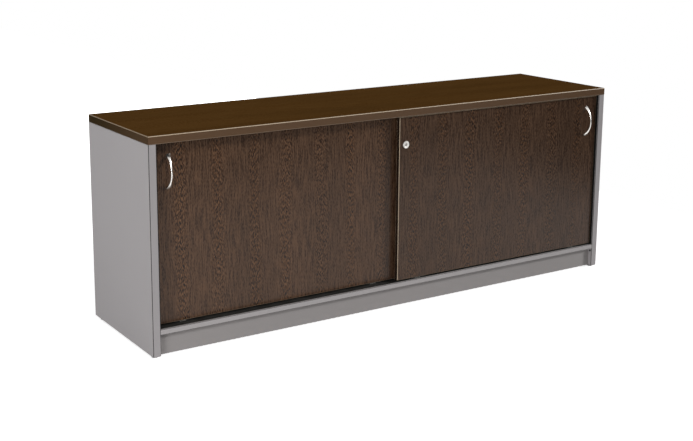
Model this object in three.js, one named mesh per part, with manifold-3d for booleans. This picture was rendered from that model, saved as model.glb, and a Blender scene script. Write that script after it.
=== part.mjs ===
// Office credenza: a panel carcass with two sliding doors that pass each other on a twin track.
// Millimetres, +Z up, front towards -Y. The origin is on the floor, in the middle of the overall box.

import * as THREE from 'three';
import { mergeVertices } from 'three/addons/utils/BufferGeometryUtils.js';
import Module from 'manifold-3d';

// Carcass
const width = 1800;
const depth = 450;
const height = 670;
const topThickness = 25;
const sideThickness = 25;
const bottomThickness = 16;
const backThickness = 16;
const dividerThickness = 16;
const edgingRadius = 2;
const panelArris = 1;

// Plinth under the bottom panel
const plinthHeight = 66;
const plinthThickness = 16;
const kickRecess = 15;

// Glides under the side panels
const glideHeight = 5;
const glideRadius = 10;
const glideToeBevel = 1;
const glideShoulderBevel = 1.5;
const glideStemRadius = 3;
const glideStemLength = 18;
const frontGlideSetback = 19;
const rearGlideSetback = 40;

// Doors, measured when closed
const doorThickness = 16;
const doorArris = 1.5;
const frontDoorRecess = 10;
const gapBetweenDoors = 8;
const doorOverlap = 13;
const doorSideGap = 3;
const doorTopGap = 2.5;
const doorBottomGap = 4.5;
const interiorGap = 6;

// Twin tracks, let in flush with the panels
const trackWidth = 44;
const trackWall = 2;
const channelWidth = 6.5;
const bottomChannelDepth = 6;
const topChannelDepth = 8;
const trackEndGap = 0.5;

// Rollers in the bottom edge of each door
const rollerInset = 90;
const wheelRadius = 13;
const wheelWidth = 5;
const wheelHubRadius = 4.5;
const wheelRimInside = 9.5;
const wheelWebThickness = 2.5;
const axleRadius = 2;
const rollerLength = 46;
const rollerFlangeLength = 64;
const rollerFlangeThickness = 2;
const rollerRoof = 3;

// Sprung guides in the top edge of each door
const guideInset = 90;
const guideLength = 44;
const guideFlangeLength = 60;
const guideFlangeThickness = 1;
const guideBladeLength = 22;
const guideShoulderLength = 30;
const guideShoulderHeight = 9;
const guideThickness = 4.5;
const guideLip = 3;
const guideDrop = 7.5;
const guideTopGap = 1;
const guideFloor = 2;
const guideCornerRadius = 4;

// Roller and guide housings share their width
const housingWidth = 11;
const flangeWidth = 13;

// Bow handles
const handleInset = 48;
const handleDrop = 88;
const handleHoleSpacing = 96;
const handleProjection = 28;
const bowWidth = 5;
const bowThickness = 4;
const footWidth = 15;
const footThickness = 7;
const footHeight = 22;
const footOverhang = 1.5;

// Handle screws
const screwRadius = 2;
const screwHeadRadius = 4;
const screwHeadHeight = 2.5;
const screwCrown = 1;
const screwGrip = 4;

// Cam lock near the leading edge of the right door, and its striker on the left door
const lockInset = 25;
const lockDrop = 92;
const lockBezelRadius = 12;
const lockBezelHeight = 3;
const lockBezelBevel = 1;
const lockBarrelRadius = 8;
const lockCoreRadius = 5.5;
const lockCoreSink = 1;
const keySlotLength = 8;
const keySlotWidth = 1.6;
const keySlotDepth = 8;
const keySlotAngle = THREE.MathUtils.degToRad(40);
const lockTailSide = 6;
const camStandoff = 1.5;
const camThickness = 2;
const camWidth = 14;
const camReach = 26;
const camScrewHeadRadius = 3.5;
const camScrewHeadHeight = 1.5;
const camScrewCrown = 0.6;
const camScrewRadius = 1.5;
const camScrewLength = 6;
const strikerThickness = 2;
const strikerHeight = 14;
const strikerLift = 12;
const strikerDoorLap = 12;
const strikerReach = 7;
const strikerCornerRadius = 2;

// Shelves and their supports
const shelfThickness = 16;
const shelfSideGap = 1.5;
const shelfBackGap = 2;
const shelfSetback = 20;
const shelfSupportHeight = 350;
const supportHolePitch = 32;
const supportHoleCount = 5;
const supportRowInset = 37;
const supportPinRadius = 2.5;
const supportPinDepth = 7;
const supportPlateLength = 10;
const supportPlateWidth = 9;
const supportPlateThickness = 2;

// Clearances
const pressFit = 0.15;
const runningFit = 0.1;
const slidingFit = 0.3;
const mortiseFit = 0.25;
const wheelLift = 0.25;

// How far a cutting tool runs past the face that it opens, and a joined piece into the next
const overrun = 1;

// Fineness of round pieces
const fineSides = 20;
const coarseSides = 10;

// Places that follow from the sizes above, measured from the carcass's front edge and the floor
const innerWidth = width - 2 * sideThickness;
const innerLeft = -innerWidth / 2;
const topUnderside = height - topThickness;
const bottomUnderside = glideHeight + plinthHeight;
const cabinetFloor = bottomUnderside + bottomThickness;
const backFace = depth - backThickness;
const doorWidth = (innerWidth - 2 * doorSideGap + doorOverlap) / 2;
const doorBottom = cabinetFloor + doorBottomGap;
const doorHeight = topUnderside - doorTopGap - doorBottom;
const rearDoorFace = frontDoorRecess + doorThickness + gapBetweenDoors;
const frontChannel = frontDoorRecess + doorThickness / 2;
const rearChannel = rearDoorFace + doorThickness / 2;
const trackFront = (frontChannel + rearChannel - trackWidth) / 2;
const dividerFront = rearDoorFace + doorThickness + interiorGap;
const bayWidth = (innerWidth - dividerThickness) / 2;
const shelfFront = dividerFront + shelfSetback;
const shelfUnderside = shelfSupportHeight + supportPinRadius;
const handleOverhang = handleProjection - frontDoorRecess;

const wasm = await Module();
wasm.setup();

function finish(color, roughness, metalness) {
  return new THREE.MeshStandardMaterial({ color, roughness, metalness });
}

const materials = {
  darkTop: finish(0x46301c, 0.45, 0),
  darkDoor: finish(0x4c3b30, 0.55, 0),
  greyBoard: finish(0x9b9898, 0.6, 0),
  blackPlastic: finish(0x1c1b1a, 0.5, 0),
  whitePlastic: finish(0xd8d6d0, 0.5, 0),
  chrome: finish(0xd0d0ce, 0.2, 1),
  steel: finish(0x9a9a9a, 0.35, 1),
};

// Turns a closed three.js geometry into a solid that can be cut and joined.
function toSolid(geometry) {
  const bare = geometry.clone();
  bare.deleteAttribute('normal');
  bare.deleteAttribute('uv');
  const merged = mergeVertices(bare);
  const vertProperties = new Float32Array(merged.attributes.position.array);
  const triVerts = new Uint32Array(merged.index.array);
  return new wasm.Manifold(new wasm.Mesh({ numProp: 3, vertProperties, triVerts }));
}

function toGeometry(solid) {
  const mesh = solid.getMesh();
  const geometry = new THREE.BufferGeometry();
  geometry.setAttribute('position', new THREE.BufferAttribute(mesh.vertProperties, 3));
  geometry.setIndex(new THREE.BufferAttribute(mesh.triVerts, 1));
  return geometry;
}

function cut(body, tools) {
  const left = tools.reduce((solid, tool) => solid.subtract(toSolid(tool)), toSolid(body));
  return toGeometry(left);
}

function join(pieces) {
  const [first, ...others] = pieces.map(toSolid);
  return toGeometry(others.reduce((solid, other) => solid.add(other), first));
}

function block(x0, x1, y0, y1, z0, z1) {
  const geometry = new THREE.BoxGeometry(x1 - x0, y1 - y0, z1 - z0);
  return geometry.translate((x0 + x1) / 2, (y0 + y1) / 2, (z0 + z1) / 2);
}

function rectangle(x0, y0, x1, y1) {
  return new THREE.Shape([[x0, y0], [x1, y0], [x1, y1], [x0, y1]].map((p) => new THREE.Vector2(...p)));
}

// A bar with half-round ends, centred on the origin.
function roundEnded(length, breadth) {
  const radius = breadth / 2;
  const reach = length / 2 - radius;
  const shape = new THREE.Shape();
  shape.absarc(reach, 0, radius, -Math.PI / 2, Math.PI / 2);
  shape.absarc(-reach, 0, radius, Math.PI / 2, (3 * Math.PI) / 2);
  return shape;
}

// A board's section, with its depth along x and its thickness along y, and its two front corners rounded.
function edgedSection(front, back, thickness, radius) {
  const shape = new THREE.Shape();
  shape.moveTo(back, 0);
  shape.lineTo(back, thickness);
  shape.absarc(front + radius, thickness - radius, radius, Math.PI / 2, Math.PI);
  shape.absarc(front + radius, radius, radius, Math.PI, (3 * Math.PI) / 2);
  return shape;
}

// Where an outline's two directions and its extrusion point, for a prism that runs along x, y or z.
// In the upright frame the outline's first direction is from front to back and the second to the left.
const prismFrames = {
  x: [[0, 1, 0], [0, 0, 1], [1, 0, 0]],
  y: [[1, 0, 0], [0, 0, 1], [0, -1, 0]],
  z: [[1, 0, 0], [0, 1, 0], [0, 0, 1]],
  upright: [[0, 1, 0], [-1, 0, 0], [0, 0, 1]],
};

// Extrudes an outline from 0 to length in one of those frames, with both end faces' edges rounded by arris.
function prism(shape, length, frameName, arris = 0) {
  const geometry = new THREE.ExtrudeGeometry(shape, {
    depth: length - 2 * arris,
    bevelEnabled: arris > 0,
    bevelThickness: arris,
    bevelSize: arris,
    bevelOffset: -arris,
    bevelSegments: 2,
    curveSegments: 6,
  });
  geometry.translate(0, 0, arris);
  const frame = prismFrames[frameName].map((v) => new THREE.Vector3(...v));
  geometry.applyMatrix4(new THREE.Matrix4().makeBasis(...frame));
  return frameName === 'y' ? geometry.translate(0, length, 0) : geometry;
}

// A round rod along Y from y0 to y1.
function rodY(radius, y0, y1, sides = coarseSides) {
  return new THREE.CylinderGeometry(radius, radius, y1 - y0, sides).translate(0, (y0 + y1) / 2, 0);
}

// A round rod along X from x0 to x1.
function rodX(radius, x0, x1, sides = coarseSides) {
  const geometry = new THREE.CylinderGeometry(radius, radius, x1 - x0, sides);
  return geometry.rotateZ(-Math.PI / 2).translate((x0 + x1) / 2, 0, 0);
}

// The radius of a many-sided hole whose flats just clear a round of the given radius.
function bored(radius, sides = coarseSides) {
  return radius / Math.cos(Math.PI / sides);
}

// A turned piece about Y, from its outline of [radius, y] points.
function turned(outline, sides = fineSides) {
  return new THREE.LatheGeometry(outline.map((p) => new THREE.Vector2(...p)), sides);
}

function place(group, name, geometry, material, position = [0, 0, 0]) {
  const mesh = new THREE.Mesh(geometry, materials[material]);
  mesh.name = name;
  mesh.position.set(...position);
  group.add(mesh);
}

// The track's section across the doors: two channels that hang from one thin strip.
// Each corner is [y, distance into the panel], along the strip's hidden side.
function trackHiddenSide(channelDepth, fit) {
  const half = channelWidth / 2 + trackWall + fit;
  const bottom = channelDepth + trackWall;
  const steps = [frontChannel, rearChannel].flatMap((y) => [
    [y - half, trackWall],
    [y - half, bottom],
    [y + half, bottom],
    [y + half, trackWall],
  ]);
  const back = trackFront + trackWidth + fit;
  return [[trackFront - fit, 0], [trackFront - fit, trackWall], ...steps, [back, trackWall], [back, 0]];
}

function trackOpenSide(channelDepth) {
  const half = channelWidth / 2;
  return [rearChannel, frontChannel].flatMap((y) => [
    [y + half, 0],
    [y + half, channelDepth],
    [y - half, channelDepth],
    [y - half, 0],
  ]);
}

// Extrudes a track section to a length; into is -1 for a panel below the track and 1 for one above.
function trackPrism(corners, into, length) {
  const shape = new THREE.Shape(corners.map(([y, inside]) => new THREE.Vector2(y, into * inside)));
  return prism(shape, length, 'x').translate(-length / 2, 0, 0);
}

function addTracks(group) {
  const length = innerWidth - 2 * trackEndGap;
  const section = (channelDepth) => [...trackHiddenSide(channelDepth, 0), ...trackOpenSide(channelDepth)];
  const bottom = trackPrism(section(bottomChannelDepth), -1, length);
  const top = trackPrism(section(topChannelDepth), 1, length);
  place(group, 'bottom_track', bottom, 'blackPlastic', [0, 0, cabinetFloor]);
  place(group, 'top_track', top, 'blackPlastic', [0, 0, topUnderside]);
}

// The blind holes for shelf supports, bored into a panel's face at x = 0 towards the given side.
function supportHoles(side) {
  const mouth = -side * overrun;
  const end = side * (supportPinDepth + pressFit);
  const middle = (supportHoleCount - 1) / 2;
  const rows = [shelfFront + supportRowInset, backFace - supportRowInset];
  const ups = Array.from({ length: supportHoleCount }, (_, i) => (i - middle) * supportHolePitch);
  return rows.flatMap((y) => ups.map((up) => {
    const hole = rodX(bored(supportPinRadius + pressFit), Math.min(mouth, end), Math.max(mouth, end));
    return hole.translate(0, y, shelfSupportHeight + up);
  }));
}

function addCarcass(group) {
  const topBoard = prism(rectangle(-width / 2, 0, width / 2, depth), topThickness, 'z', edgingRadius);
  const topRecess = trackPrism(trackHiddenSide(topChannelDepth, mortiseFit), 1, innerWidth);
  place(group, 'top_panel', cut(topBoard, [topRecess]), 'darkTop', [0, 0, topUnderside]);

  const bottomBoard = prism(edgedSection(0, depth, bottomThickness, panelArris), innerWidth, 'x');
  bottomBoard.translate(innerLeft, 0, -bottomThickness);
  const bottomRecess = trackPrism(trackHiddenSide(bottomChannelDepth, mortiseFit), -1, width);
  place(group, 'bottom_panel', cut(bottomBoard, [bottomRecess]), 'greyBoard', [0, 0, cabinetFloor]);

  const glideRows = [frontGlideSetback, depth - rearGlideSetback];
  for (const [name, side] of [['left', -1], ['right', 1]]) {
    const section = edgedSection(0, depth, sideThickness, edgingRadius);
    const board = prism(section, topUnderside - glideHeight, 'upright');
    board.translate(side < 0 ? 0 : sideThickness, 0, glideHeight);
    const stems = glideRows.map((y) => {
      const stem = rodY(bored(glideStemRadius + pressFit), -overrun, glideStemLength + pressFit);
      return stem.rotateX(Math.PI / 2).translate((side * sideThickness) / 2, y, glideHeight);
    });
    const inside = side * -innerLeft;
    const panel = cut(board, [...stems, ...supportHoles(side)]);
    place(group, `${name}_side_panel`, panel, 'greyBoard', [inside, 0, 0]);
    addGlides(group, name, inside + (side * sideThickness) / 2, glideRows);
  }

  const back = block(innerLeft, -innerLeft, backFace, depth, cabinetFloor, topUnderside);
  place(group, 'back_panel', back, 'greyBoard');

  const halfDivider = dividerThickness / 2;
  const dividerSection = edgedSection(dividerFront, backFace, dividerThickness, panelArris);
  const divider = prism(dividerSection, topUnderside - cabinetFloor, 'upright');
  divider.translate(halfDivider, 0, cabinetFloor);
  const leftHoles = supportHoles(1).map((hole) => hole.translate(-halfDivider, 0, 0));
  const rightHoles = supportHoles(-1).map((hole) => hole.translate(halfDivider, 0, 0));
  place(group, 'centre_divider', cut(divider, [...leftHoles, ...rightHoles]), 'greyBoard');

  const kickBack = kickRecess + plinthThickness;
  const railFront = depth - plinthThickness;
  const kick = prism(edgedSection(kickRecess, kickBack, plinthHeight, panelArris), innerWidth, 'x');
  place(group, 'kickboard', kick, 'greyBoard', [innerLeft, 0, glideHeight]);
  const rail = block(innerLeft, -innerLeft, railFront, depth, glideHeight, bottomUnderside);
  place(group, 'rear_plinth_rail', rail, 'greyBoard');
  const halfBrace = plinthThickness / 2;
  const brace = block(-halfBrace, halfBrace, kickBack, railFront, glideHeight, bottomUnderside);
  place(group, 'plinth_brace', brace, 'greyBoard');
}

function addGlides(group, name, x, rows) {
  const outline = [
    [0, 0],
    [glideRadius - glideToeBevel, 0],
    [glideRadius, glideToeBevel],
    [glideRadius, glideHeight - glideShoulderBevel],
    [glideRadius - glideShoulderBevel, glideHeight],
    [glideStemRadius, glideHeight],
    [glideStemRadius, glideHeight + glideStemLength],
    [0, glideHeight + glideStemLength],
  ];
  rows.forEach((y, i) => {
    const glide = turned(outline).rotateX(Math.PI / 2);
    place(group, `${name}_${i ? 'rear' : 'front'}_glide`, glide, 'blackPlastic', [x, y, 0]);
  });
}

// A spoon support: a pin in the panel's hole and a flat plate under the shelf.
function shelfSupport(side) {
  const plateTop = supportPinRadius;
  const half = supportPlateWidth / 2;
  const pin = rodX(supportPinRadius, -supportPinDepth, overrun);
  const plate = block(0, supportPlateLength, -half, half, plateTop - supportPlateThickness, plateTop);
  return join([pin, plate]).rotateZ(side > 0 ? 0 : Math.PI);
}

function addShelves(group) {
  const rows = [shelfFront + supportRowInset, backFace - supportRowInset];
  for (const [name, left] of [['left', innerLeft], ['right', dividerThickness / 2]]) {
    const section = edgedSection(shelfFront, backFace - shelfBackGap, shelfThickness, panelArris);
    const shelf = prism(section, bayWidth - 2 * shelfSideGap, 'x');
    place(group, `${name}_shelf`, shelf, 'greyBoard', [left + shelfSideGap, 0, shelfUnderside]);
    for (const [end, x, side] of [['left', left, 1], ['right', left + bayWidth, -1]]) {
      rows.forEach((y, i) => {
        const support = `${name}_shelf_${end}_${i ? 'rear' : 'front'}_support`;
        place(group, support, shelfSupport(side), 'steel', [x, y, shelfSupportHeight]);
      });
    }
  }
}

// A bow handle in front of y = 0: an oval bar on a circular arc that widens into its two feet.
// The bar runs on past the door's face, where it is cut flat, a little outside the screw holes.
const bowRings = 24;
const bowSides = 12;

function bowHandle() {
  const halfSpan = handleHoleSpacing / 2 + footOverhang;
  const rise = handleProjection - bowThickness / 2;
  const radius = (halfSpan ** 2 + rise ** 2) / (2 * rise);
  const sweep = Math.asin(halfSpan / radius) + footThickness / radius;
  const positions = [];
  for (let ring = 0; ring <= bowRings; ring += 1) {
    const angle = sweep * ((2 * ring) / bowRings - 1);
    const clear = radius * Math.cos(angle) - (radius - rise);
    const flare = 1 - THREE.MathUtils.smoothstep(clear, 0, footHeight);
    const halfWidth = (bowWidth + (footWidth - bowWidth) * flare) / 2;
    const halfThickness = (bowThickness + (footThickness - bowThickness) * flare) / 2;
    for (let side = 0; side < bowSides; side += 1) {
      const turn = (2 * Math.PI * side) / bowSides;
      const reach = radius + halfThickness * Math.cos(turn);
      const out = reach * Math.cos(angle) - (radius - rise);
      positions.push(halfWidth * Math.sin(turn), -out, reach * Math.sin(angle));
    }
  }
  const index = [];
  for (let ring = 0; ring < bowRings; ring += 1) {
    for (let side = 0; side < bowSides; side += 1) {
      const a = ring * bowSides + side;
      const b = ring * bowSides + ((side + 1) % bowSides);
      index.push(a, b, a + bowSides, b, b + bowSides, a + bowSides);
    }
  }
  const last = bowRings * bowSides;
  for (let side = 1; side < bowSides - 1; side += 1) {
    index.push(0, side + 1, side);
    index.push(last, last + side, last + side + 1);
  }
  const bar = new THREE.BufferGeometry();
  bar.setAttribute('position', new THREE.Float32BufferAttribute(positions, 3));
  bar.setIndex(index);

  const behind = block(-footWidth, footWidth, 0, handleHoleSpacing, -handleHoleSpacing, handleHoleSpacing);
  const holes = [-handleHoleSpacing / 2, handleHoleSpacing / 2].map((z) => {
    return rodY(bored(screwRadius + pressFit), -screwGrip - pressFit, overrun).translate(0, 0, z);
  });
  return cut(bar, [behind, ...holes]);
}

// A screw along Y whose head seats on y = 0 and whose tip points to -Y.
function panScrew(radius, length, headRadius, headHeight, crown) {
  return turned([
    [0, -length],
    [radius, -length],
    [radius, 0],
    [headRadius, 0],
    [headRadius, headHeight - crown],
    [headRadius - crown, headHeight],
    [0, headHeight],
  ], coarseSides);
}

// The housing body and flange that a door's edge takes, along +Z from the edge at z = 0 into the door.
function edgeHousing(length, flangeLength, flangeThickness, bodyDepth) {
  const body = prism(roundEnded(length, housingWidth), bodyDepth + flangeThickness / 2, 'z');
  const flange = prism(roundEnded(flangeLength, flangeWidth), flangeThickness, 'z');
  return join([
    body.translate(0, 0, -flangeThickness / 2),
    flange.translate(0, 0, -flangeThickness),
  ]);
}

function edgeMortise(length, bodyDepth) {
  const outline = roundEnded(length + 2 * mortiseFit, housingWidth + 2 * mortiseFit);
  return prism(outline, bodyDepth + mortiseFit + overrun, 'z').translate(0, 0, -overrun);
}

// Rollers, in a frame with the door's bottom edge at z = 0
const wheelCentre = wheelRadius + wheelLift - bottomChannelDepth - doorBottomGap;
const rollerDepth = wheelCentre + wheelRadius + slidingFit + rollerRoof;

function rollerHousing() {
  const slotHalf = wheelWidth / 2 + slidingFit;
  const slotReach = wheelRadius + 2 * slidingFit;
  const slotTop = wheelCentre + wheelRadius + slidingFit;
  const slot = block(-slotReach, slotReach, -slotHalf, slotHalf, -2 * rollerFlangeThickness, slotTop);
  const axleHole = rodY(bored(axleRadius + pressFit), -housingWidth, housingWidth);
  const housing = edgeHousing(rollerLength, rollerFlangeLength, rollerFlangeThickness, rollerDepth);
  return cut(housing, [slot, axleHole.translate(0, 0, wheelCentre)]);
}

// A nylon wheel with a rounded tread, a thin web and a bored hub.
function wheel() {
  const half = wheelWidth / 2;
  const web = wheelWebThickness / 2;
  const bore = bored(axleRadius + runningFit, fineSides);
  const bevel = (wheelWidth - wheelWebThickness) / 2;
  const side = [
    [bore, half],
    [wheelHubRadius, half],
    [wheelHubRadius, web],
    [wheelRimInside, web],
    [wheelRimInside, half],
    [wheelRadius - bevel, half],
    [wheelRadius, web],
  ];
  const mirrored = side.map(([r, y]) => [r, -y]);
  return turned([...mirrored, ...side.toReversed(), mirrored[0]], fineSides);
}

function addRoller(group, name, x) {
  const y = doorThickness / 2;
  const axle = rodY(axleRadius, -housingWidth / 2, housingWidth / 2);
  place(group, `${name}_roller_housing`, rollerHousing(), 'blackPlastic', [x, y, 0]);
  place(group, `${name}_wheel`, wheel(), 'whitePlastic', [x, y, wheelCentre]);
  place(group, `${name}_axle`, axle, 'steel', [x, y, wheelCentre]);
}

// Guides, in a frame with the door's top edge at z = 0
const bladeTop = doorTopGap + topChannelDepth - guideTopGap;
const shoulderTop = -guideLip - slidingFit;
const shoulderBottom = shoulderTop - guideShoulderHeight;
const pocketBottom = shoulderBottom - guideDrop - slidingFit;
const guideDepth = guideFloor - pocketBottom;

// A blade that runs in the top channel, on a wider shoulder that the housing's lip holds in.
function guideBlade() {
  const blade = guideBladeLength / 2;
  const shoulder = guideShoulderLength / 2;
  const corner = guideCornerRadius;
  const shape = new THREE.Shape();
  shape.moveTo(-shoulder, shoulderBottom);
  shape.lineTo(shoulder, shoulderBottom);
  shape.lineTo(shoulder, shoulderTop);
  shape.lineTo(blade, shoulderTop);
  shape.absarc(blade - corner, bladeTop - corner, corner, 0, Math.PI / 2);
  shape.absarc(corner - blade, bladeTop - corner, corner, Math.PI / 2, Math.PI);
  shape.lineTo(-blade, shoulderTop);
  shape.lineTo(-shoulder, shoulderTop);
  return prism(shape, guideThickness, 'y').translate(0, -guideThickness / 2, 0);
}

function guideHousing() {
  const half = guideThickness / 2 + slidingFit;
  const mouthHalf = guideBladeLength / 2 + slidingFit;
  const pocketHalf = guideShoulderLength / 2 + slidingFit;
  const mouth = block(-mouthHalf, mouthHalf, -half, half, shoulderTop, bladeTop);
  const pocket = block(-pocketHalf, pocketHalf, -half, half, pocketBottom, -guideLip);
  const housing = edgeHousing(guideLength, guideFlangeLength, guideFlangeThickness, guideDepth);
  return cut(housing.rotateX(Math.PI), [mouth, pocket]);
}

function addGuide(group, name, x) {
  const position = [x, doorThickness / 2, doorHeight];
  place(group, `${name}_guide_housing`, guideHousing(), 'blackPlastic', position);
  place(group, `${name}_guide`, guideBlade(), 'whitePlastic', position);
}

// The lock, in a frame with the door's front face at y = 0 and the core's axis along Y
function lockBody() {
  const bore = bored(lockCoreRadius + runningFit, fineSides);
  return turned([
    [bore, -lockBezelHeight],
    [lockBezelRadius - lockBezelBevel, -lockBezelHeight],
    [lockBezelRadius, lockBezelBevel - lockBezelHeight],
    [lockBezelRadius, 0],
    [lockBarrelRadius, 0],
    [lockBarrelRadius, doorThickness],
    [bore, doorThickness],
    [bore, -lockBezelHeight],
  ]);
}

const camFront = doorThickness + camStandoff;
const tailEnd = camFront + camThickness;

function lockCore() {
  const face = lockCoreSink - lockBezelHeight;
  const half = lockTailSide / 2;
  const plug = rodY(lockCoreRadius, face, doorThickness, fineSides);
  const tail = block(-half, half, doorThickness - overrun, tailEnd, -half, half);
  const slot = block(
    -keySlotWidth / 2, keySlotWidth / 2,
    face - overrun, face + keySlotDepth,
    -keySlotLength / 2, keySlotLength / 2,
  );
  const screwHole = rodY(
    bored(camScrewRadius + pressFit),
    tailEnd - camScrewLength - pressFit,
    tailEnd + overrun,
  );
  return cut(join([plug, tail]), [slot.rotateY(keySlotAngle), screwHole]);
}

// A plate on the core's square tail that points along +X at rest.
function lockCam() {
  const shape = roundEnded(camReach + camWidth / 2, camWidth);
  const centre = (camReach - camWidth / 2) / 2;
  const half = lockTailSide / 2 + pressFit;
  shape.holes.push(new THREE.Path([
    new THREE.Vector2(-half - centre, -half),
    new THREE.Vector2(-half - centre, half),
    new THREE.Vector2(half - centre, half),
    new THREE.Vector2(half - centre, -half),
  ]));
  return prism(shape, camThickness, 'y').translate(centre, camFront, 0);
}

function addLock(group, x, z) {
  place(group, 'lock_body', lockBody(), 'chrome', [x, 0, z]);
  place(group, 'lock_core', lockCore(), 'chrome', [x, 0, z]);
  place(group, 'lock_cam', lockCam(), 'steel', [x, 0, z]);
  const screw = panScrew(
    camScrewRadius, camScrewLength, camScrewHeadRadius, camScrewHeadHeight, camScrewCrown,
  );
  place(group, 'lock_cam_screw', screw, 'steel', [x, tailEnd, z]);
}

// The striker on the left door's leading edge: the turned-up cam stops against its front lip.
function addStriker(group, z) {
  const section = edgedSection(-strikerReach, strikerDoorLap, strikerHeight, strikerCornerRadius);
  const striker = prism(section, strikerThickness, 'x');
  place(group, 'lock_striker', striker, 'steel', [doorWidth, 0, z + strikerLift]);
}

// A door, in a frame with its front lower left corner at the origin.
function addDoor(cabinet, name, left, face, handleX, lockX) {
  const door = new THREE.Group();
  door.position.set(left, face, doorBottom);
  cabinet.add(door);

  const handleZ = doorHeight - handleDrop;
  const lockZ = doorHeight - lockDrop;
  const halfSpan = handleHoleSpacing / 2;
  const outerFirst = handleX < doorWidth / 2;
  const ends = [['outer', outerFirst], ['inner', !outerFirst]];
  const fromEnd = (inset, atLeft) => (atLeft ? inset : doorWidth - inset);

  const tools = ends.flatMap(([, atLeft]) => [
    edgeMortise(rollerLength, rollerDepth).translate(fromEnd(rollerInset, atLeft), doorThickness / 2, 0),
    edgeMortise(guideLength, guideDepth).rotateX(Math.PI)
      .translate(fromEnd(guideInset, atLeft), doorThickness / 2, doorHeight),
  ]);
  for (const up of [-halfSpan, halfSpan]) {
    const hole = rodY(bored(screwRadius + pressFit), -overrun, doorThickness + overrun);
    tools.push(hole.translate(handleX, 0, handleZ + up));
  }
  if (lockX) {
    const barrelHole = bored(lockBarrelRadius + pressFit, fineSides);
    const hole = rodY(barrelHole, -overrun, doorThickness + overrun, fineSides);
    tools.push(hole.translate(lockX, 0, lockZ));
  }
  const board = prism(rectangle(0, 0, doorWidth, doorHeight), doorThickness, 'y', doorArris);
  place(door, `${name}_door_panel`, cut(board, tools), 'darkDoor');

  for (const [end, atLeft] of ends) {
    addRoller(door, `${name}_door_${end}`, fromEnd(rollerInset, atLeft));
    addGuide(door, `${name}_door_${end}`, fromEnd(guideInset, atLeft));
  }

  place(door, `${name}_door_handle`, bowHandle(), 'chrome', [handleX, 0, handleZ]);
  const screwLength = doorThickness + screwGrip;
  for (const [end, up] of [['lower', -halfSpan], ['upper', halfSpan]]) {
    const screw = panScrew(screwRadius, screwLength, screwHeadRadius, screwHeadHeight, screwCrown);
    const screwName = `${name}_door_handle_${end}_screw`;
    place(door, screwName, screw, 'steel', [handleX, doorThickness, handleZ + up]);
  }

  if (lockX) {
    addLock(door, lockX, lockZ);
  } else {
    addStriker(door, lockZ);
  }
}

const cabinet = new THREE.Group();
cabinet.position.y = (handleOverhang - depth) / 2;
addCarcass(cabinet);
addTracks(cabinet);
addShelves(cabinet);
const leftDoorEdge = innerLeft + doorSideGap;
const rightDoorEdge = -innerLeft - doorSideGap - doorWidth;
addDoor(cabinet, 'left', leftDoorEdge, rearDoorFace, handleInset, null);
addDoor(cabinet, 'right', rightDoorEdge, frontDoorRecess, doorWidth - handleInset, lockInset);

const credenza = new THREE.Group();
credenza.add(cabinet);

export default credenza;
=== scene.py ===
"""Office credenza: a grey panel carcass, a dark wood-grain top and two sliding doors on a twin track."""

import math

import bmesh
import bpy
from mathutils import Matrix, Vector


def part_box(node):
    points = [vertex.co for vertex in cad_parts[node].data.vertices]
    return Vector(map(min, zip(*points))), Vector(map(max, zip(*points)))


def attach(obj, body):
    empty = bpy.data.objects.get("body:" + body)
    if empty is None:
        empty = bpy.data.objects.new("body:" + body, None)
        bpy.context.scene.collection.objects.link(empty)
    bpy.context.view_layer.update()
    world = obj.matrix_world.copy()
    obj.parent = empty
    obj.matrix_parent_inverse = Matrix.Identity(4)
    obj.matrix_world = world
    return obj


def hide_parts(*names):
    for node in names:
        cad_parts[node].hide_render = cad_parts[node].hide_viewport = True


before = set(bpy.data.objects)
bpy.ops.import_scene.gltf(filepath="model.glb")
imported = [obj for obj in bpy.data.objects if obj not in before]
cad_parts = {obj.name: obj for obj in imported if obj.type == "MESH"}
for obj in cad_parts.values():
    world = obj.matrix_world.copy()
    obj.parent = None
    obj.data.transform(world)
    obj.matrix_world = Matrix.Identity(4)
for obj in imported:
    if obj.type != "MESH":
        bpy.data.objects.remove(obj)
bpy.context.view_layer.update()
scene = bpy.context.scene
scene.view_settings.view_transform = "Standard"


# The view
# A standing viewer to the left of the cabinet looks down a little at its front and its left end.
# The lens is shifted a little, as on a view camera, so that the uprights lean less.
camera = bpy.data.objects.new("photo_camera", bpy.data.cameras.new("photo_camera"))
camera.data.sensor_width = 36
camera.data.lens = 62.03
camera.data.shift_x = 0.066
camera.data.shift_y = -0.1
camera.location = (-2.277, -3.282, 1.307)
camera.rotation_euler = (math.radians(90 - 11.51), 0, math.radians(-31.61))
scene.collection.objects.link(camera)
scene.camera = camera


# The studio
# White paper on the floor and behind, which the eye and bright metal see as plain white, with a dim room
# in front that only reflections see. A far lamp on the right throws the doors' short shadows to the left,
# a softbox on the left lights the left end and fades along the front, and one behind fills the back.
def wire(tree, kind, inputs=None, **settings):
    """Adds a shader node, sets its properties, and sets or links its inputs."""
    made = tree.nodes.new(kind)
    for name, value in settings.items():
        setattr(made, name, value)
    for name, value in (inputs or {}).items():
        if isinstance(value, bpy.types.NodeSocket):
            tree.links.new(value, made.inputs[name])
        else:
            made.inputs[name].default_value = value
    return made


def sums(tree, operation, *values, clamp=False):
    """One Math node on sockets or numbers."""
    terms = dict(enumerate(values))
    return wire(tree, "ShaderNodeMath", terms, operation=operation, use_clamp=clamp).outputs[0]


def rising(tree, direction, low, high, dimmest):
    """From the dimmest level up to white as a direction turns from low to high."""
    limits = {"Value": direction, "From Min": low, "From Max": high, "To Min": dimmest}
    return wire(tree, "ShaderNodeMapRange", limits).outputs[0]


def white_light(tree, strength):
    """Plain white light from all round."""
    return wire(tree, "ShaderNodeBackground", {"Color": (1, 1, 1, 1), "Strength": strength}).outputs[0]


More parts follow.
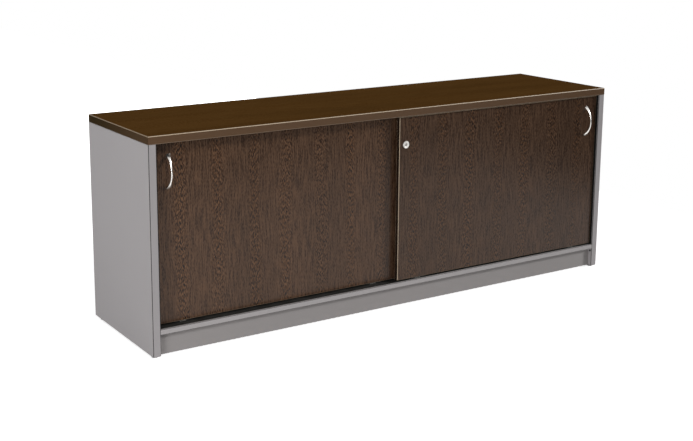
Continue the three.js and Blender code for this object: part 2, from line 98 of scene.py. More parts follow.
def swapped(tree, ray, first, second):
    """The first light, and the second one for rays of one kind."""
    return wire(tree, "ShaderNodeMixShader", {0: ray, 1: first, 2: second}).outputs[0]


def seen_directly(tree):
    """1 for what the eye, a reflection or a clear piece shows, 0 for light that falls on a surface."""
    rays = wire(tree, "ShaderNodeLightPath").outputs
    eye_or_metal = sums(tree, "MAXIMUM", rays["Is Camera Ray"], rays["Is Glossy Ray"])
    return sums(tree, "MAXIMUM", eye_or_metal, rays["Is Transmission Ray"])


room_level = 0.06
dome_level = 0.15
scene.world = bpy.data.worlds.new("studio")
scene.world.use_nodes = True
studio = scene.world.node_tree
studio.nodes.clear()
outlook = wire(studio, "ShaderNodeTexCoord").outputs["Generated"]
outlook_axes = wire(studio, "ShaderNodeSeparateXYZ", {0: outlook}).outputs
behind = rising(studio, outlook_axes["Y"], -0.3, 0.3, room_level)
above = rising(studio, outlook_axes["Z"], -0.05, 0.4, room_level)
mirrored = white_light(studio, sums(studio, "MAXIMUM", behind, above))
studio_rays = wire(studio, "ShaderNodeLightPath").outputs
shown = swapped(studio, studio_rays["Is Glossy Ray"], white_light(studio, dome_level), mirrored)
for ray_kind in ("Is Camera Ray", "Is Transmission Ray"):
    shown = swapped(studio, studio_rays[ray_kind], shown, white_light(studio, 1))
wire(studio, "ShaderNodeOutputWorld", {"Surface": shown})

paper_front = -2.2
paper_back = 40
paper_left = -40
paper_right = 1.8
paper_half = Vector((paper_right - paper_left, paper_back - paper_front, 2)) / 2
paper_middle = Vector((paper_right + paper_left, paper_back + paper_front, 0)) / 2
floor_shape = bmesh.new()
floor_corners = bmesh.ops.create_grid(floor_shape, x_segments=1, y_segments=1, size=1)["verts"]
bmesh.ops.scale(floor_shape, verts=floor_corners, vec=paper_half)
bmesh.ops.translate(floor_shape, verts=floor_corners, vec=paper_middle)
floor_mesh = bpy.data.meshes.new("floor")
floor_shape.to_mesh(floor_mesh)
floor_shape.free()
floor = bpy.data.objects.new("floor", floor_mesh)
scene.collection.objects.link(floor)

paper = bpy.data.materials.new("white_paper")
paper.use_nodes = True
paper_tree = paper.node_tree
paper_tree.nodes.clear()
matt = wire(paper_tree, "ShaderNodeBsdfDiffuse", {"Color": (0.8, 0.8, 0.8, 1)})
glow = wire(
    paper_tree,
    "ShaderNodeEmission",
    {"Color": (0.78, 0.78, 0.78, 1), "Strength": seen_directly(paper_tree)},
)
lit_paper = wire(paper_tree, "ShaderNodeAddShader", {0: matt.outputs[0], 1: glow.outputs[0]})
wire(paper_tree, "ShaderNodeOutputMaterial", {"Surface": lit_paper.outputs[0]})
floor_mesh.materials.append(paper)

key_lamp = bpy.data.lights.new("key_lamp", "SUN")
key_lamp.energy = 2.15
key_lamp.angle = math.radians(10)
softbox = bpy.data.lights.new("left_softbox", "AREA")
softbox.size = 1.8
softbox.energy = 172
back_fill = bpy.data.lights.new("back_fill", "AREA")
back_fill.size = 2.5
back_fill.energy = 130
lamp_aim = Vector((0, -0.2, 0.35))
lamp_places = (
    (key_lamp, (3.07, -1.98, 2.17)),
    (softbox, (-5.3, -2.7, 1.0)),
    (back_fill, (1.2, 5.0, 0.9)),
)
for lamp, lamp_place in lamp_places:
    stand = bpy.data.objects.new(lamp.name, lamp)
    stand.location = lamp_place
    stand.rotation_euler = (lamp_aim - stand.location).to_track_quat("-Z", "Y").to_euler()
    scene.collection.objects.link(stand)


# Grey boards: sides, bottom, back, divider, plinth and shelves
# Chipboard faced with fine-textured grey melamine, with 2 mm plastic edging in the same grey on
# the front edges. Where the edging is scraped round, the dark glue line and core tone show.
def shade(red, green, blue):
    """A colour given as it looks on a screen, 0 to 255, as the linear values that a shader takes."""
    return (*(((c / 255 + 0.055) / 1.055) ** 2.4 for c in (red, green, blue)), 1)


def new_material(name, **surface):
    """A material with its Principled surface, whose plain values are set on its own sockets."""
    made = bpy.data.materials.new(name)
    made.use_nodes = True
    skin = made.node_tree.nodes["Principled BSDF"]
    for label, value in surface.items():
        skin.inputs[label.replace("_", " ")].default_value = value
    return made, made.node_tree, skin


def new_group(name, inputs, outputs):
    """An empty shader group with float sockets, or vector ones where the default is a tuple."""
    made = bpy.data.node_groups.new(name, "ShaderNodeTree")
    kinds = {float: "NodeSocketFloat", tuple: "NodeSocketVector"}
    for label, default in inputs.items():
        socket = made.interface.new_socket(label, in_out="INPUT", socket_type=kinds[type(default)])
        socket.default_value = default
    for label in outputs:
        made.interface.new_socket(label, in_out="OUTPUT", socket_type=kinds[float])
    entry = made.nodes.new("NodeGroupInput")
    return made, entry.outputs, made.nodes.new("NodeGroupOutput").inputs


def blended(tree, amount, first, second):
    """A colour mixed from first to second."""
    return wire(tree, "ShaderNodeMix", {0: amount, 6: first, 7: second}, data_type="RGBA").outputs[2]


def tinted(tree, colour, level):
    """A colour made darker or lighter by a value that changes over the surface."""
    return wire(tree, "ShaderNodeVectorMath", {0: colour, "Scale": level}, operation="SCALE").outputs[0]


def speckle(tree, place, scale, detail=2.0, roughness=0.5):
    """A noise value of about 0 to 1."""
    noise = {"Vector": place, "Scale": scale, "Detail": detail, "Roughness": roughness}
    return wire(tree, "ShaderNodeTexNoise", noise).outputs["Fac"]


def stepped(tree, value, low, high, to_low=0.0, to_high=1.0):
    """A value mapped smoothly from low..high to to_low..to_high."""
    limits = {"Value": value, "From Min": low, "From Max": high, "To Min": to_low, "To Max": to_high}
    return wire(tree, "ShaderNodeMapRange", limits, interpolation_type="SMOOTHSTEP").outputs["Result"]


def raised(tree, skin, height, strength, depth):
    """Shows a value as fine relief in the surface."""
    bump = wire(tree, "ShaderNodeBump", {"Height": height, "Strength": strength, "Distance": depth})
    tree.links.new(bump.outputs[0], skin.inputs["Normal"])


# 1 on the rounded edge of a board, or in a bored hole, and 0 on its flat faces
flat_limit = 0.985
arris_group, _, result = new_group("Arris", {}, ["Arris"])
facing = wire(arris_group, "ShaderNodeTexCoord").outputs["Normal"]
lengths = wire(arris_group, "ShaderNodeVectorMath", {0: facing}, operation="ABSOLUTE").outputs[0]
across = wire(arris_group, "ShaderNodeSeparateXYZ", {0: lengths}).outputs
flattest = sums(arris_group, "MAXIMUM", sums(arris_group, "MAXIMUM", across[0], across[1]), across[2])
arris_group.links.new(sums(arris_group, "LESS_THAN", flattest, flat_limit), result["Arris"])

# The pressed texture of melamine, and a mottle from it and from slow clouds in the paper
melamine_group, _, result = new_group("Melamine texture", {}, ["Fine", "Mottle"])
melamine_place = wire(melamine_group, "ShaderNodeTexCoord").outputs["Object"]
fine = speckle(melamine_group, melamine_place, 700.0, 3.0, 0.6)
cloud = sums(melamine_group, "MULTIPLY", speckle(melamine_group, melamine_place, 3.0), 0.5)
mottle = stepped(melamine_group, sums(melamine_group, "ADD", fine, cloud), 0.4, 1.1, 0.96, 1.03)
melamine_group.links.new(fine, result["Fine"])
melamine_group.links.new(mottle, result["Mottle"])


def grey_board(name, face, glue_line):
    """Grey melamine, with the glue line on the board's rounded edges."""
    made, tree, skin = new_material(name, Specular_IOR_Level=0.3)
    texture = wire(tree, "ShaderNodeGroup", node_tree=melamine_group).outputs
    arris = wire(tree, "ShaderNodeGroup", node_tree=arris_group).outputs["Arris"]
    facing_grey = tinted(tree, face[:3], texture["Mottle"])
    tree.links.new(blended(tree, arris, facing_grey, glue_line), skin.inputs["Base Color"])
    tree.links.new(stepped(tree, texture["Fine"], 0.2, 0.8, 0.5, 0.62), skin.inputs["Roughness"])
    raised(tree, skin, texture["Fine"], 0.15, 0.0002)
    return made


def dress(material, *names):
    """Gives CAD pieces their finish."""
    for name in names:
        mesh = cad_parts[name].data
        mesh.materials.clear()
        mesh.materials.append(material)


grey = grey_board("grey_melamine", shade(156, 152, 153), shade(46, 44, 43))
# The plinth pieces get a darker copy of the grey as painted shade, and the bottom panel a lighter copy as
# painted light.
plinth_grey_painted_shade = grey_board("plinth_melamine_painted_shade", shade(142, 138, 137), shade(64, 62, 61))
bottom_grey_painted_light = grey_board("bottom_melamine_painted_light", shade(164, 160, 160), shade(46, 44, 43))
dress(grey, "left_side_panel", "right_side_panel", "back_panel", "centre_divider")
dress(grey, "left_shelf", "right_shelf")
dress(bottom_grey_painted_light, "bottom_panel")
dress(plinth_grey_painted_shade, "kickboard", "rear_plinth_rail", "plinth_brace")


# Top panel
# 25 mm board faced with a dark brown laminate, its faint grain along the cabinet, and edged all round with
# 2 mm plastic in a browner wood print, painted darker towards the rear at the ends as shade. A pale painted
# highlight runs along the rounded edges, weaker on the ends and dimmed underneath as painted shade.
grain_group, given, result = new_group(
    "Wood grain",
    {"Place": (0.0, 0.0, 0.0), "Column pitch": 0.12},
    ["Ticks", "Columns", "Pores", "Flecks", "Drift"],
)


def stretched(tree, place, across_scale, along_scale):
    """A place stretched so that noise on it runs along Z."""
    scales = (across_scale, across_scale, along_scale)
    return wire(tree, "ShaderNodeVectorMath", {0: place, 1: scales}, operation="MULTIPLY").outputs[0]


# Columns of livelier grain stand side by side, and sway and fade along the sheet
wide_sway_reach = 0.07
waver_reach = 0.014
column_core = 0.03
column_edge = 0.24
drift = speckle(grain_group, stretched(grain_group, given["Place"], 5.0, 0.9), 1.0, 2.0)
waver = speckle(grain_group, stretched(grain_group, given["Place"], 14.0, 11.0), 1.0, 1.0)
fading = speckle(grain_group, stretched(grain_group, given["Place"], 9.0, 2.2), 1.0, 2.0)
wide_sway = sums(grain_group, "MULTIPLY", sums(grain_group, "SUBTRACT", drift, 0.5), wide_sway_reach)
off_line = sums(grain_group, "SUBTRACT", waver, 0.5)
sway = sums(grain_group, "MULTIPLY_ADD", off_line, waver_reach, wide_sway)
sheet = wire(grain_group, "ShaderNodeSeparateXYZ", {0: given["Place"]}).outputs
swayed = sums(grain_group, "ADD", sheet["X"], sway)
pitches = sums(grain_group, "DIVIDE", swayed, given["Column pitch"])
from_column = sums(grain_group, "PINGPONG", sums(grain_group, "ADD", pitches, 0.5), 0.5)
column = stepped(grain_group, from_column, column_core, column_edge, 1.0, 0.0)
columns = sums(grain_group, "MULTIPLY", column, stepped(grain_group, fading, 0.3, 0.65, 0.35, 1.0))

# The grain's marks bend into chevrons about each column
chevron_rise = 0.16
chevron = sums(grain_group, "ADD", sheet["Z"], sums(grain_group, "MULTIPLY", from_column, chevron_rise))
across_sheet = sums(grain_group, "ADD", swayed, sheet["Y"])
bent = wire(grain_group, "ShaderNodeCombineXYZ", {0: across_sheet, 1: chevron}).outputs[0]


def marks(across_scale, along_scale):
    """Marks of one size on the flat of the sheet, which run along the grain."""
    scales = (across_scale, along_scale, 0)
    place = wire(grain_group, "ShaderNodeVectorMath", {0: bent, 1: scales}, operation="MULTIPLY").outputs[0]
    noise = {"Vector": place, "Scale": 1.0, "Detail": 0.0}
    return wire(grain_group, "ShaderNodeTexNoise", noise, noise_dimensions="2D").outputs["Fac"]


ticks = marks(600.0, 100.0)
flecks = marks(420.0, 100.0)
fibres = marks(380.0, 14.0)
streaks = stepped(grain_group, fibres, 0.36, 0.64, 0.3, 0.7)
vigour = stepped(grain_group, from_column, column_core, column_edge, 1.0, 0.25)
lively = sums(grain_group, "MULTIPLY", stepped(grain_group, ticks, 0.4, 0.6, -0.6, 0.6), vigour)
pores = sums(grain_group, "MULTIPLY", stepped(grain_group, flecks, 0.52, 0.63), columns)
pale_flecks = sums(grain_group, "MULTIPLY", stepped(grain_group, flecks, 0.45, 0.34), columns)
grain_group.links.new(sums(grain_group, "ADD", lively, streaks, clamp=True), result["Ticks"])
grain_group.links.new(columns, result["Columns"])
grain_group.links.new(pores, result["Pores"])
grain_group.links.new(pale_flecks, result["Flecks"])
grain_group.links.new(drift, result["Drift"])

# The pale colour of a painted highlight on the laminates' rounded edges.
highlight_colour = shade(192, 173, 149)


def edged_laminate(name, wood, along, **surface):
    """A wood-grain laminate on a board's two faces, whose grain runs along X or Z, and its edging."""
    made, tree, skin = new_material(name, **surface)
    board = wire(tree, "ShaderNodeTexCoord").outputs
    spot = wire(tree, "ShaderNodeSeparateXYZ", {0: board["Object"]}).outputs
    normal = wire(tree, "ShaderNodeSeparateXYZ", {0: board["Normal"]}).outputs

    def turned_to(axis, limit):
        """1 where the surface faces along an axis, either way."""
        return sums(tree, "GREATER_THAN", sums(tree, "ABSOLUTE", normal[axis]), limit)

    place = board["Object"]
    if along == "X":
        place = wire(tree, "ShaderNodeCombineXYZ", {0: spot["Y"], 1: spot["Z"], 2: spot["X"]}).outputs[0]
    grain = wire(tree, "ShaderNodeGroup", {"Place": place}, node_tree=grain_group).outputs
    contrast = sums(tree, "SUBTRACT", grain["Ticks"], 0.5)
    tone = sums(tree, "MULTIPLY_ADD", contrast, wood["ticks"], 0.5, clamp=True)
    figure = blended(tree, tone, wood["dark"], wood["light"])
    for mark, tint in (("Columns", "warm"), ("Flecks", "pale"), ("Pores", "pore")):
        share = sums(tree, "MULTIPLY", grain[mark], wood[mark.lower()])
        figure = blended(tree, share, figure, wood[tint])
    tone_and_shade = stepped(tree, grain["Drift"], 0.3, 0.7, 0.9 * wood["tone"], 1.1 * wood["tone"])
    figure = tinted(tree, figure, tone_and_shade)

    # The edging on the ends is painted darker towards the rear, as shade.
    rear_shading = stepped(tree, spot["Y"], -0.2, 0.2)
    end_edging_shaded = blended(tree, rear_shading, wood["end edging"], wood["shaded rear edging"])
    edging = blended(tree, turned_to("X", 0.5), wood["edging"], end_edging_shaded)
    printed = blended(tree, sums(tree, "MULTIPLY", grain["Ticks"], 0.35), edging, wood["dark"])
    banded = blended(tree, turned_to(wood["face"], 0.9), printed, figure)

    # A pale painted highlight on the rounded edges, weaker on the ends, and much weaker underneath as
    # painted shade.
    arris = wire(tree, "ShaderNodeGroup", node_tree=arris_group).outputs["Arris"]
    on_sides = stepped(tree, sums(tree, "ABSOLUTE", normal["X"]), 0.2, 0.3, 1.0, wood["end highlight"])
    underneath = stepped(tree, normal["Z"], -0.3, -0.2, wood["low highlight"], 1.0)
    highlight_share = sums(tree, "MULTIPLY", arris, sums(tree, "MULTIPLY", on_sides, underneath))
    tree.links.new(blended(tree, highlight_share, banded, highlight_colour), skin.inputs["Base Color"])
    tree.links.new(stepped(tree, grain["Ticks"], 0.0, 1.0, *wood["roughness"]), skin.inputs["Roughness"])
    if wood["edge gloss"]:
        edge_gloss = sums(tree, "MULTIPLY", turned_to("Y", 0.5), wood["edge gloss"])
        tree.links.new(edge_gloss, skin.inputs["Coat Weight"])
    raised(tree, skin, sums(tree, "SUBTRACT", tone, grain["Pores"]), 0.2, 0.0002)
    return made


top_wood = {
    "dark": shade(78, 51, 20),
    "light": shade(101, 72, 38),
    "warm": shade(88, 58, 24),
    "pale": shade(98, 70, 38),
    "pore": shade(60, 37, 12),
    "edging": shade(84, 61, 40),
    "end edging": shade(74, 60, 47),
    "shaded rear edging": shade(48, 42, 29),
    "end highlight": 0.65,
    "low highlight": 0.2,
    "ticks": 0.7,
    "columns": 0.3,
    "flecks": 0.3,
    "pores": 0.3,
    "face": "Z",
    "roughness": (0.5, 0.6),
    "edge gloss": 0.8,
    "tone": 1.06,
}
top_brown = edged_laminate("top_laminate", top_wood, "X", Specular_IOR_Level=0.0, Coat_Roughness=0.4)
dress(top_brown, "top_panel")


# Tracks
# One extruded black plastic strip with two channels, let in flush in the bottom panel, and a deeper
# one in the underside of the top.
moulding_group, _, result = new_group("Moulding grain", {}, ["Fine", "Worn"])
moulding_place = wire(moulding_group, "ShaderNodeTexCoord").outputs["Object"]
moulding_group.links.new(speckle(moulding_group, moulding_place, 900.0, 2.0), result["Fine"])
moulding_group.links.new(speckle(moulding_group, moulding_place, 40.0, 3.0), result["Worn"])


def moulded(name, colour, low, high, **surface):
    """A moulded plastic with a fine grain, whose roughness lies between low and high."""
    made, tree, skin = new_material(name, **surface)
    grain = wire(tree, "ShaderNodeGroup", node_tree=moulding_group).outputs
    tint = stepped(tree, grain["Worn"], 0.3, 0.7, 0.9, 1.12)
    tree.links.new(tinted(tree, colour[:3], tint), skin.inputs["Base Color"])
    tree.links.new(stepped(tree, grain["Worn"], 0.3, 0.7, low, high), skin.inputs["Roughness"])
    raised(tree, skin, grain["Fine"], 0.2, 0.0001)
    return made


black_plastic = moulded("black_plastic", shade(30, 30, 28), 0.38, 0.55)
dress(black_plastic, "bottom_track", "top_track")


# Doors
# 16 mm board in a dark wood-grain laminate with upright grain, edged all round in near-black plastic, with a
# pale painted highlight along its rounded edges. The left door runs in the rear channel and the right one,
# its laminate painted darker as shade, in front of it.
door_edging = shade(30, 20, 13)
door_wood = {
    "dark": shade(24, 10, 2),
    "light": shade(99, 73, 54),
    "warm": shade(90, 56, 31),
    "pale": shade(122, 88, 61),
    "pore": shade(8, 5, 3),
    "edging": door_edging,
    "end edging": door_edging,
    "shaded rear edging": door_edging,
    "end highlight": 1.0,
    "low highlight": 0.4,
    "ticks": 1.0,
    "columns": 0.2,
    "flecks": 0.4,
    "pores": 0.95,
    "face": "Y",
    "roughness": (0.24, 0.32),
    "edge gloss": 0.0,
}
# The right door's laminate is painted darker than the left one's, as shade.
for side, tone_and_shade in (("left", 1.05), ("right", 0.79)):
    sheet_wood = {**door_wood, "tone": tone_and_shade}
    door_brown = edged_laminate(f"{side}_door_laminate", sheet_wood, "Z", Specular_IOR_Level=0.26)
    dress(door_brown, f"{side}_door_panel")


# Glides
# Turned black plastic buttons with a stem, pressed into the lower edges of the side panels to hold them
# off the floor.
def turned(outline, sides, rounding=0.0):
    """A turned shape about Z from its outline of (radius, height) corners, with its rims rounded."""
    shape = bmesh.new()
    corners = [shape.verts.new((radius, 0, height)) for radius, height in outline]
    for pair in zip(corners, corners[1:]):
        shape.edges.new(pair)
    if outline[0] == outline[-1]:
        bmesh.ops.remove_doubles(shape, verts=corners, dist=1e-7)
    bmesh.ops.spin(
        shape,
        geom=shape.verts[:] + shape.edges[:],
        cent=(0, 0, 0),
        axis=(0, 0, 1),
        angle=math.tau,
        steps=sides,
        use_merge=True,
    )
    bmesh.ops.remove_doubles(shape, verts=shape.verts, dist=1e-7)
    bmesh.ops.holes_fill(shape, edges=shape.edges)
    bmesh.ops.recalc_face_normals(shape, faces=shape.faces)
    if rounding:
        sharp = [edge for edge in shape.edges if edge.calc_face_angle(0) > math.radians(40)]
        bmesh.ops.bevel(
            shape,
            geom=sharp,
            offset=rounding,
            segments=3,
            profile=0.5,
            affect="EDGES",
            material=-1,
            clamp_overlap=True,
        )
    return shape


def fitted(shape, name, material, body, slot, *replaced):
    """Makes a shape a smooth piece with crisp corners that moves with a body of the cabinet."""
    bmesh.ops.recalc_face_normals(shape, faces=shape.faces)
    mesh = bpy.data.meshes.new(name)
    shape.to_mesh(mesh)
    shape.free()
    mesh.shade_smooth()
    mesh.set_sharp_from_angle(angle=math.radians(35))
    mesh.materials.append(material)
    piece = bpy.data.objects.new(name, mesh)
    scene.collection.objects.link(piece)
    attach(piece, body)
    if replaced:
        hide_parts(*replaced)


def put(shape, where, turn=None):
    """Moves a shape to its place, after a turn about the origin."""
    matrix = Matrix.Translation(where)
    if turn:
        matrix = matrix @ turn
    bmesh.ops.transform(shape, matrix=matrix, verts=shape.verts)
    return shape


def middle(node):
    """The middle of a CAD piece's box."""
    low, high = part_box(node)
    return (low + high) / 2


glide_height = 0.005
glide_radius = 0.010
glide_rounding = 0.0009
stem_radius = 0.003
for side in ("left", "right"):
    for end in ("front", "rear"):
        node = f"{side}_{end}_glide"
        low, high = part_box(node)
        foot = Vector((middle(node).x, middle(node).y, low.z))
        outline = [
            (glide_radius, 0),
            (glide_radius, glide_height),
            (stem_radius, glide_height),
            (stem_radius, high.z - low.z),
        ]
        button = put(turned(outline, 32, glide_rounding), foot)
        fitted(button, f"{side}_{end}_foot_button", black_plastic, "carcass", "black_plastic", node)


# Shade strips
# A black pile strip glued upright on each side panel's inner face, in front of where the doors close, put
# there as painted shade on that face.
strip_thickness = 0.0024
strip_front = -0.213
strip_back = -0.188
strip_sink = 0.0002
strip_rounding = strip_thickness * 0.45
# Matt black, which paints the shade on the side panels' inner faces beside the doors.
pile = moulded("black_pile_painted_shade", shade(16, 16, 15), 0.85, 0.95, Specular_IOR_Level=0.1)
bay_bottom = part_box("bottom_panel")[1].z
bay_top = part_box("top_panel")[0].z
for side, inward in (("left", 1), ("right", -1)):
    low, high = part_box(f"{side}_side_panel")
    inner_x = high.x if inward > 0 else low.x
    strip = bmesh.new()
    corners = bmesh.ops.create_cube(strip, size=1)["verts"]
    strip_size = (strip_thickness + strip_sink, strip_back - strip_front, bay_top - bay_bottom)
    bmesh.ops.scale(strip, verts=corners, vec=strip_size)
    uprights = [edge for edge in strip.edges if edge.verts[0].co.z * edge.verts[1].co.z < 0]
    bmesh.ops.bevel(
        strip,
        geom=uprights,
        offset=strip_rounding,
        segments=4,
        profile=0.5,
        affect="EDGES",
        material=-1,
    )
    strip_x = inner_x + inward * (strip_thickness - strip_sink) / 2
    put(strip, Vector((strip_x, (strip_front + strip_back) / 2, (bay_top + bay_bottom) / 2)))
    fitted(strip, f"{side}_shade_strip", pile, "carcass", "black_plastic")


# Fitting caps
# Domed plastic caps: grey ones pressed into the holes of the fittings that draw the boards together, on the
# sides, the divider and the bottom inside the bays, and small black ones under the bottom panel's front
# corners.
cap_height = 0.0016
cap_sink = 0.0003


def fitting_cap(name, radius, where, facing, material):
    """A domed cap on a board, which faces out of it."""
    dome = [
        (radius, -cap_sink),
        (radius, cap_height * 0.4),
        (radius * 0.8, cap_height * 0.8),
        (radius * 0.4, cap_height),
    ]
    cap = turned(dome, 28)
    put(cap, Vector(where), Vector(facing).to_track_quat("Z", "Y").to_matrix().to_4x4())
    fitted(cap, name, material, "carcass", "black_plastic" if material is black_plastic else "grey_board")


grey_plastic = moulded("grey_plastic", shade(140, 137, 137), 0.4, 0.5)
plug_radius = 0.004
plug_y = -0.2085
plug_z = 0.062
cap_radius = 0.0085
cap_inset = 0.034
cap_front_y = -0.11
cap_rear_y = 0.16
divider_low, divider_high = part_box("centre_divider")
for side, inward in (("left", 1), ("right", -1)):
    low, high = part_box(f"{side}_side_panel")
    inner_x = high.x if inward > 0 else low.x
    divider_x = divider_low.x if inward > 0 else divider_high.x
    fitting_cap(f"{side}_plinth_plug", plug_radius, (inner_x, plug_y, plug_z), (inward, 0, 0), black_plastic)
    for end, y in (("front", cap_front_y), ("rear", cap_rear_y)):
        on_side = (inner_x, y, bay_top - cap_inset)
        on_divider = (divider_x, y, bay_top - cap_inset)
        on_bottom = (inner_x + inward * cap_inset, y, bay_bottom)
        fitting_cap(f"{side}_side_{end}_cap", cap_radius, on_side, (inward, 0, 0), grey_plastic)
        fitting_cap(f"{side}_divider_{end}_cap", cap_radius, on_divider, (-inward, 0, 0), grey_plastic)
        fitting_cap(f"{side}_bottom_{end}_cap", cap_radius, on_bottom, (0, 0, 1), grey_plastic)


# Shelf supports
# Bright zinc-plated steel spoons: each has a pin pushed into a bored hole of the panel and a flat plate
# under the shelf, which lies on it loose.
plating_group, _, result = new_group("Plating marks", {}, ["Cloud", "Wear"])
plating_place = wire(plating_group, "ShaderNodeTexCoord").outputs["Object"]
clouding = speckle(plating_group, plating_place, 60.0, 3.0)
wiping = speckle(plating_group, stretched(plating_group, plating_place, 900.0, 60.0), 1.0, 2.0)
wiped_share = sums(plating_group, "MULTIPLY", wiping, 0.6)
clouded_share = sums(plating_group, "MULTIPLY", clouding, 0.4)
plating_group.links.new(clouding, result["Cloud"])
plating_group.links.new(sums(plating_group, "ADD", wiped_share, clouded_share), result["Wear"])


def plated(name, colour, low, high):
    """A polished or plated metal with faint clouding and wiping marks, its roughness from low to high."""
    made, tree, skin = new_material(name, Metallic=1.0)
    plating = wire(tree, "ShaderNodeGroup", node_tree=plating_group).outputs
    tint = stepped(tree, plating["Cloud"], 0.3, 0.7, 0.94, 1.0)
    tree.links.new(tinted(tree, colour[:3], tint), skin.inputs["Base Color"])
    tree.links.new(stepped(tree, plating["Wear"], 0.3, 0.7, low, high), skin.inputs["Roughness"])
    return made


zinc = plated("zinc_plate", shade(176, 178, 182), 0.28, 0.42)
for shelf in ("left", "right"):
    for side in ("left", "right"):
        for end in ("front", "rear"):
            dress(zinc, f"{shelf}_shelf_{side}_{end}_support")


# Rollers
# Each door stands on two nylon wheels with a hub, a web and a bevelled tread. They turn on steel axles in
# black plastic housings let into the door's lower edge.
nylon = moulded("nylon", shade(216, 213, 204), 0.4, 0.5)
wheel_radius = 0.013
wheel_half = 0.0025
web_half = 0.00125
hub_radius = 0.0045
rim_inside = 0.0095
tread_bevel = 0.00125
wheel_rounding = 0.0003
bore_radius = 0.0022
axle_radius = 0.002
axle_rounding = 0.0003
to_back = Matrix.Rotation(math.radians(-90), 4, "X")
wheel_side = [
    (bore_radius, wheel_half),
    (hub_radius, wheel_half),
    (hub_radius, web_half),
    (rim_inside, web_half),
    (rim_inside, wheel_half),
    (wheel_radius - tread_bevel, wheel_half),
    (wheel_radius, web_half),
]
wheel_outline = [(r, -h) for r, h in wheel_side] + wheel_side[::-1] + [(bore_radius, -wheel_half)]
for side in ("left", "right"):
    for end in ("outer", "inner"):
        roller = f"{side}_door_{end}"
        dress(black_plastic, f"{roller}_roller_housing")
        wheel = put(turned(wheel_outline, 40, wheel_rounding), middle(f"{roller}_wheel"), to_back)
        fitted(wheel, f"{roller}_nylon_wheel", nylon, f"{roller}_wheel", "white_plastic", f"{roller}_wheel")
        low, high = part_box(f"{roller}_axle")
        axle_half = (high.y - low.y) / 2
        pin = turned([(axle_radius, -axle_half), (axle_radius, axle_half)], 24, axle_rounding)
        put(pin, middle(f"{roller}_axle"), to_back)
        fitted(pin, f"{roller}_axle_pin", zinc, f"{side}_door", "steel", f"{roller}_axle")


# Guides
# A sprung nylon blade in a black housing at each end of a door's upper edge runs in the top track, and
# is pressed down to lift the door out.
for side in ("left", "right"):
    for end in ("outer", "inner"):
        dress(black_plastic, f"{side}_door_{end}_guide_housing")
        dress(nylon, f"{side}_door_{end}_guide")


# Bow handles
# Bright chromed bow handles: an oval bar on one arc that widens into two flat feet, each held by a
# cross-head screw from behind the door.
chrome = plated("chrome", shade(228, 224, 219), 0.2, 0.27)
bow_width = 0.005
bow_thickness = 0.004
foot_width = 0.015
foot_thickness = 0.007
foot_height = 0.022
foot_spacing = 0.099


def bow_handle(node):
    """The oval bar spun along its arc, flared near the feet and cut off flat against the door."""
    low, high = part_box(node)
    rise = high.y - low.y - bow_thickness / 2
    half_span = foot_spacing / 2
    bend = (half_span**2 + rise**2) / (2 * rise)
    sweep = math.asin(half_span / bend) + foot_thickness / bend
    centre = Vector((0, bend - rise, 0))
    shape = bmesh.new()
    section = bmesh.ops.create_circle(shape, segments=28, radius=0.5)["verts"]
    bmesh.ops.scale(shape, verts=section, vec=(bow_width, bow_thickness, 1))
    bmesh.ops.translate(shape, verts=section, vec=(0, -rise, 0))
    bmesh.ops.rotate(shape, verts=section, cent=centre, matrix=Matrix.Rotation(-sweep, 3, "X"))
    bmesh.ops.spin(
        shape,
        geom=shape.verts[:] + shape.edges[:],
        cent=centre,
        axis=(1, 0, 0),
        angle=2 * sweep,
        steps=72,
    )
    for corner in shape.verts:
        spoke = corner.co - centre
        reach = math.hypot(spoke.y, spoke.z)
        clear = -bend * spoke.y / reach - centre.y
        share = min(max(clear / foot_height, 0), 1)
        flare = 1 - share**2 * (3 - 2 * share)
        swollen = bend + (reach - bend) * (1 + flare * (foot_thickness / bow_thickness - 1))
        corner.co.x *= 1 + flare * (foot_width / bow_width - 1)
        corner.co.y = centre.y + spoke.y * swollen / reach
        corner.co.z = spoke.z * swollen / reach
    bmesh.ops.bisect_plane(
        shape,
        geom=shape.verts[:] + shape.edges[:] + shape.faces[:],
        plane_co=(0, 0, 0),
        plane_no=(0, 1, 0),
        clear_outer=True,
    )
    bmesh.ops.holes_fill(shape, edges=shape.edges)
    return put(shape, Vector(((low.x + high.x) / 2, high.y, (low.z + high.z) / 2)))


def sink_slots(shape, slots, depth):
    """Sinks slots of (half length along X, half breadth along Y) into the flat cap on top of a shape."""
    for half_x, half_y in slots:
        for side in (-1, 1):
            for across, reach in ((Vector((1, 0, 0)), half_x), (Vector((0, 1, 0)), half_y)):
                cap = [face for face in shape.faces if face.normal.z > 0.99]
                rim = {edge for face in cap for edge in face.edges}
                ends = {vert for face in cap for vert in face.verts}
                bmesh.ops.bisect_plane(
                    shape,
                    geom=cap + list(rim) + list(ends),
                    plane_co=across * reach * side,
                    plane_no=across,
                )
    floor_faces = []
    for face in shape.faces:
        spot = face.calc_center_median()
        if face.normal.z > 0.99 and any(abs(spot.x) < x and abs(spot.y) < y for x, y in slots):
            floor_faces.append(face)
    pushed = bmesh.ops.extrude_face_region(shape, geom=floor_faces)["geom"]
    lowered = [part for part in pushed if isinstance(part, bmesh.types.BMVert)]
    bmesh.ops.translate(shape, verts=lowered, vec=(0, 0, -depth))
    left_over = [face for face in floor_faces if face.is_valid]
    bmesh.ops.delete(shape, geom=left_over, context="FACES_ONLY")
    return shape


def cross_screw(shank_radius, length, head_radius, head_height):
    """A screw with a domed pan head on z = 0, a cross recess, and its tip towards -Z."""
    outline = [
        (shank_radius * 0.6, -length),
        (shank_radius, -length + shank_radius),
        (shank_radius, 0),
        (head_radius, 0),
        (head_radius, head_height * 0.45),
        (head_radius * 0.8, head_height * 0.85),
        (head_radius * 0.55, head_height),
    ]
    arm = head_radius * 0.5
    arm_breadth = arm * 0.26
    return sink_slots(turned(outline, 32), [(arm, arm_breadth), (arm_breadth, arm)], head_height * 0.55)


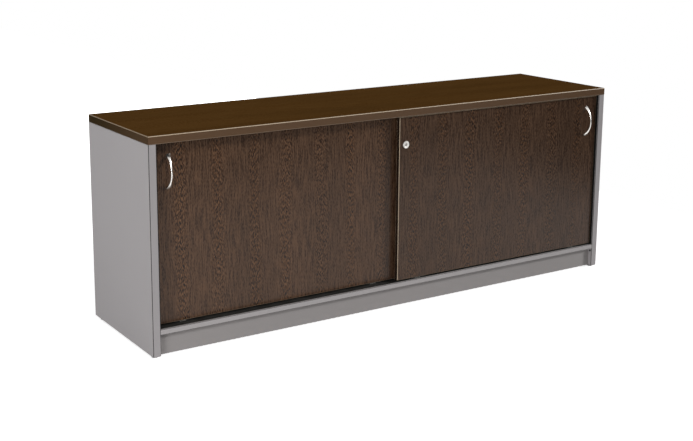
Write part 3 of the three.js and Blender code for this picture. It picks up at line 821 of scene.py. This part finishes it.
screw_radius = 0.002
screw_head_radius = 0.004
screw_head_height = 0.0025
for side in ("left", "right"):
    door = f"{side}_door"
    fitted(bow_handle(f"{door}_handle"), f"{door}_bow_handle", chrome, door, "chrome", f"{door}_handle")
    for end in ("lower", "upper"):
        node = f"{door}_handle_{end}_screw"
        low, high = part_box(node)
        screw_seat = Vector((middle(node).x, high.y - screw_head_height, middle(node).z))
        screw_length = high.y - low.y - screw_head_height
        screw = cross_screw(screw_radius, screw_length, screw_head_radius, screw_head_height)
        fitted(put(screw, screw_seat, to_back), f"{node}_cross", zinc, door, "steel", node)


# Lock
# A nickel-plated cam lock through the right door: a bezel and barrel, a core with its key slot, and behind
# the door a steel cam that turns up behind the striker on the left door's edge.
nickel = plated("satin_nickel", shade(242, 239, 235), 0.36, 0.46)
dull_nickel = plated("dull_nickel", shade(194, 190, 186), 0.4, 0.5)
bezel_radius = 0.012
bezel_height = 0.003
bezel_rounding = 0.0007
barrel_radius = 0.008
core_radius = 0.0055
core_bore = 0.0057
core_seat = 0.0006
core_sink = 0.001
key_slot = (0.0046, 0.0012)
key_slot_depth = 0.008
key_slot_lean = math.radians(40)
to_front = Matrix.Rotation(math.radians(90), 4, "X")
lock_low, lock_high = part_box("lock_body")
barrel_length = lock_high.y - lock_low.y - bezel_height
lock_seat = Vector((middle("lock_body").x, lock_low.y + bezel_height, middle("lock_body").z))
bezel_outline = [
    (core_bore, -barrel_length),
    (barrel_radius, -barrel_length),
    (barrel_radius, 0),
    (bezel_radius, 0),
    (bezel_radius, bezel_height),
    (core_bore + core_seat, bezel_height),
    (core_bore, bezel_height - core_seat),
    (core_bore, -barrel_length),
]
bezel = put(turned(bezel_outline, 48, bezel_rounding), lock_seat, to_front)
fitted(bezel, "lock_bezel", nickel, "right_door", "chrome", "lock_body")

core_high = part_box("lock_core")[1]
tail_half = 0.003
tail_length = core_high.y - lock_high.y
core = turned([(core_radius, -barrel_length), (core_radius, bezel_height - core_sink)], 48)
sink_slots(core, [key_slot], key_slot_depth)
tail = bmesh.ops.create_cube(core, size=1)["verts"]
bmesh.ops.scale(core, verts=tail, vec=(2 * tail_half, 2 * tail_half, tail_length))
bmesh.ops.translate(core, verts=tail, vec=(0, 0, -barrel_length - tail_length / 2))
slot_turn = Matrix.Rotation(math.radians(90) - key_slot_lean, 4, "Z")
put(core, lock_seat, to_front @ slot_turn)
fitted(core, "lock_key_core", dull_nickel, "lock_core", "chrome", "lock_core")

cam_screw_low, cam_screw_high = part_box("lock_cam_screw")
cam_screw_radius = 0.0015
cam_screw_head_radius = 0.0035
cam_screw_head = 0.0015
cam_screw_length = cam_screw_high.y - cam_screw_low.y - cam_screw_head
cam_screw_seat = Vector((lock_seat.x, cam_screw_high.y - cam_screw_head, lock_seat.z))
cam_screw = cross_screw(cam_screw_radius, cam_screw_length, cam_screw_head_radius, cam_screw_head)
put(cam_screw, cam_screw_seat, to_back)
fitted(cam_screw, "lock_cam_cross_screw", zinc, "lock_core", "steel", "lock_cam_screw")
dress(zinc, "lock_cam", "lock_striker")
